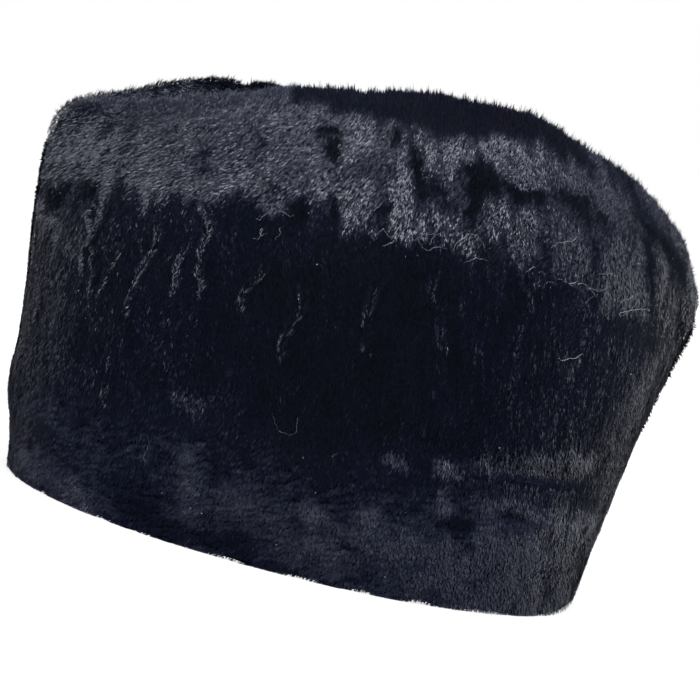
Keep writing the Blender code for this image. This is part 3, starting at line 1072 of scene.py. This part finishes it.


# Tones of the strands from dark to light, before the tint of each material, partly painted light, is added
STRAND_TONES = (
    (0.0, (0.0005, 0.0010, 0.0052)),
    (0.45, (0.0011, 0.0022, 0.0105)),
    (0.8, (0.0030, 0.0044, 0.0150)),
    (1.0, (0.0150, 0.0170, 0.0270)),
)
# Painted shade darkens each strand toward its root, where the strands crowd together; tips are a little
# lighter
ROOT_TO_TIP = ((0.0, (0.25, 0.25, 0.28)), (0.5, (0.85, 0.85, 0.88)), (1.0, (1.25, 1.22, 1.18)))
CAST_COLOURS = (
    (0.0, (0.70, 1.05, 1.05)),
    (0.5, (1.0, 1.0, 1.0)),
    (0.85, (1.25, 0.98, 1.05)),
    (1.0, (1.45, 1.02, 1.0)),
)


def pile_material(name, tint_and_painted_light, gloss, roughness):
    """Blue-black strands: roots darkened as painted shade, a tone for each strand, eight slightly
    different casts.
    """
    material, tree, shader = new_material(name)
    place = add(tree, "UVMap", {}, uv_map="PileTone")
    parts = add(tree, "SeparateXYZ", {0: place.outputs["UV"]})
    tone, cast = parts.outputs["X"], parts.outputs["Y"]
    bands = add(tree, "Math", {0: cast, 1: CASTS}, operation="MULTIPLY")
    along = add(tree, "Math", {0: bands.outputs[0]}, operation="FRACT")
    # Each copy's tint is partly painted light: painted shade, painted sheen, or colour in place of sheen
    tones_with_tint = [(stop, [a + b for a, b in zip(colour, tint_and_painted_light)]) for stop, colour in STRAND_TONES]
    colour = ramp(tree, tone, tones_with_tint)
    for factor, stops in ((along.outputs[0], ROOT_TO_TIP), (cast, CAST_COLOURS)):
        inputs = {"Factor": 1.0, "A": colour, "B": ramp(tree, factor, stops)}
        colour = add(tree, "Mix", inputs, data_type="RGBA", blend_type="MULTIPLY").outputs["Result"]
    rough = add(tree, "MapRange", {"Value": tone, "To Min": roughness, "To Max": roughness - 0.11})
    fill(tree, shader, {
        "Base Color": colour, "Roughness": rough.outputs["Result"],
        "Specular IOR Level": gloss, "Specular Tint": (0.88, 0.90, 1.0, 1.0),
    })
    return material


def skin_material(name, colours, roughness, grain_scale, bump_strength, gloss):
    """Leather or suede with blotches and a fine grain in the colour, the roughness and the bump."""
    material, tree, shader = new_material(name)
    place = add(tree, "TexCoord", {}).outputs["Object"]
    blotch = add(tree, "TexNoise", {"Vector": place, "Scale": 38.0, "Detail": 5.0}).outputs["Fac"]
    grain = add(tree, "TexNoise", {"Vector": place, "Scale": grain_scale, "Detail": 4.0}).outputs["Fac"]
    mix = add(tree, "Mix", {"Factor": 0.45, "A": blotch, "B": grain}, data_type="FLOAT")
    rough = add(tree, "MapRange", {"Value": grain, "To Min": roughness - 0.10, "To Max": roughness + 0.08})
    raised = add(tree, "Bump", {"Strength": bump_strength, "Distance": 0.0006, "Height": grain})
    fill(tree, shader, {
        "Base Color": ramp(tree, mix.outputs["Result"], tuple(zip((0.30, 0.52, 0.72), colours))),
        "Roughness": rough.outputs["Result"], "Normal": raised.outputs["Normal"],
        "Specular IOR Level": gloss,
    })
    return material


# In the order of the material slots LYING, SHADED, CREST and COMBED: the shaded copy is duller as painted
# shade, the crest's lighter colour stands in for its sheen, and the combed copy is lighter as painted
# sheen
PILE = (
    pile_material("pile_lying", (0.0002, 0.0012, 0.0062), 0.5, 0.36),
    pile_material("pile_shaded", (0.0024, 0.0034, 0.0012), 0.30, 0.42),
    pile_material("pile_crest", (0.0092, 0.0102, 0.0150), 0.20, 0.60),
    pile_material("pile_low", (0.0076, 0.0090, 0.0182), 0.5, 0.40),
)
GRAIN_SKIN = skin_material(
    "pelt_grain", ((0.0022, 0.0028, 0.0065), (0.0042, 0.0050, 0.0105), (0.0070, 0.0080, 0.0150)),
    0.80, 900.0, 0.5, 0.05,
)
FLESH_SKIN = skin_material(
    "pelt_flesh", ((0.030, 0.028, 0.029), (0.048, 0.045, 0.046), (0.080, 0.075, 0.074)),
    0.85, 1400.0, 0.6, 0.4,
)
HAIR = skin_material(
    "loose_hair", ((0.10, 0.11, 0.12), (0.20, 0.21, 0.23), (0.34, 0.34, 0.36)), 0.6, 700.0, 0.2, 0.5
)

for side, (pelt_name, node) in PELTS.items():
    outer, inner, along, up = grid_of(side, *PELT_SIZES)
    fuller = swell(side, along, up) if side else 0.2 * noise(along / 6.0, up / 6.0, 41)
    inside = np.zeros_like(up)
    inside[1:-1, 1:-1] = 1.0
    relief = (CURL_IN_SKIN * curl(COATS[side][2], along, up)[0] + fuller) * inside
    normal = frames_of(outer, inner)[2]
    piece = pelt(pelt_name, outer, inner, relief, normal, side == 1, [GRAIN_SKIN, FLESH_SKIN])
    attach(piece, "root")
    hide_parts(node)

for pile_name, side, first, last, count, length, width, seed in PILES:
    grid = grid_of(side, *PILE_SIZES)
    columns = len(grid[0]) - 1
    keep = slice(int(columns * first), int(columns * last) + 1)
    piece = pile(pile_name, side, [values[keep] for values in grid], count, length, width, seed, PILE)
    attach(piece, "root")

for hair_name, side, lines, flecks, seed in (
    ("hairs_right", -1, HAIRS + tuple(wandering(64, 9, True)), 190, 61),
    ("hairs_left", 1, wandering(62, 16, False), 120, 63),
):
    piece = loose_hairs(hair_name, side, lines, flecks, seed, HAIR)
    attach(piece, "root")


def floor_material():
    """A matt floor that glows more with distance, shows no horizon and bounces little light."""
    material, tree, shader = new_material("studio_floor")
    place = add(tree, "TexCoord", {})
    reach = add(tree, "VectorMath", {0: place.outputs["Object"]}, operation="LENGTH")
    fill(tree, shader, {
        "Base Color": (0.12, 0.12, 0.12, 1.0), "Roughness": 0.9, "Specular IOR Level": 0.1,
        "Emission Color": (1.0, 1.0, 1.0, 1.0),
        "Emission Strength": smooth_step(tree, reach.outputs["Value"], 0.10, 0.60, 0.80, 1.0),
    })
    dull = add(tree, "BsdfDiffuse", {"Color": (FLOOR_BOUNCE, FLOOR_BOUNCE, FLOOR_BOUNCE, 1.0)})
    for_camera(tree, "Material Output", dull, shader)
    return material


def studio_world():
    """Light from above and from behind the hat, in front of a plain white background."""
    world = bpy.data.worlds.new("studio")
    world.use_nodes = True
    tree = world.node_tree
    toward = add(tree, "TexCoord", {})
    parts = add(tree, "SeparateXYZ", {0: toward.outputs["Generated"]})
    canopy = smooth_step(tree, parts.outputs["Z"], 0.10, 0.42, 0.0, 1.0)
    behind = smooth_step(tree, parts.outputs["Y"], 0.05, 0.50, 0.0, 0.55)
    larger = add(tree, "Math", {0: canopy, 1: behind}, operation="MAXIMUM")
    power = add(tree, "Math", {0: larger.outputs[0], 1: 1.5, 2: 0.04}, operation="MULTIPLY_ADD")
    surround = tree.nodes["Background"]
    fill(tree, surround, {"Color": (0.96, 0.98, 1.0, 1.0), "Strength": power.outputs[0]})
    white = add(tree, "Background", {"Color": (1.0, 1.0, 1.0, 1.0)})
    for_camera(tree, "World Output", surround, white)
    return world


def stand(thing, right, above, back, place):
    """Put a camera or lamp in the scene, looking away from its back."""
    turn = np.eye(4)
    turn[:3] = np.stack([right, above, back, place], axis=1)
    thing.matrix_world = Matrix(turn.tolist())
    bpy.context.scene.collection.objects.link(thing)


FLOOR_HALF = 6.0
FLOOR_BOUNCE = 0.035
corners = [(FLOOR_HALF * x, FLOOR_HALF * y, 0.0) for x, y in ((-1, -1), (1, -1), (1, 1), (-1, 1))]
floor = make_mesh("floor", corners, [(0, 1, 2, 3)], [floor_material()])

TARGET = (0.00146, 0.0, 0.06493)
AZIMUTH, ELEVATION, ROLL = (math.radians(v) for v in (-8.0, 4.6, 14.55))
DISTANCE = 0.760
LENS = 115.08

level = math.cos(ELEVATION)
back = np.array([math.sin(AZIMUTH) * level, -math.cos(AZIMUTH) * level, math.sin(ELEVATION)])
right = unit(np.cross(-back, (0.0, 0.0, 1.0)))
above = np.cross(right, -back)
rolled_right = right * math.cos(ROLL) + above * math.sin(ROLL)
rolled_above = -right * math.sin(ROLL) + above * math.cos(ROLL)
camera = bpy.data.objects.new("camera", bpy.data.cameras.new("camera"))
camera.data.sensor_width = 36.0
camera.data.lens = LENS
camera.data.clip_start = 0.01
stand(camera, rolled_right, rolled_above, back, np.array(TARGET) + DISTANCE * back)
bpy.context.scene.camera = camera

# name, place, height of the aim, width, height, watts
LAMPS = (
    ("overhead", (0.10, -0.30, 1.15), 0.10, 1.0, 0.8, 26.0),
    ("left", (-0.90, -0.20, 0.72), 0.10, 0.6, 0.5, 5.5),
    ("right", (0.98, 0.36, 0.44), 0.06, 0.5, 0.4, 1.4),
)
LAMP_COLOUR = (0.97, 0.98, 1.0)
for lamp_name, place, aim, width, height, watts in LAMPS:
    lamp = bpy.data.lights.new(lamp_name, "AREA")
    lamp.shape = "RECTANGLE"
    lamp.size = width
    lamp.size_y = height
    lamp.energy = watts
    lamp.color = LAMP_COLOUR
    axis = unit(np.array(place) - (0.0, 0.0, aim))
    side_axis = unit(np.cross((0.0, 1.0, 0.0), axis))
    stand(bpy.data.objects.new(lamp_name, lamp), side_axis, np.cross(axis, side_axis), axis, place)

bpy.context.scene.world = studio_world()
bpy.context.scene.view_settings.view_transform = "Standard"
bpy.context.scene.view_settings.look = "None"
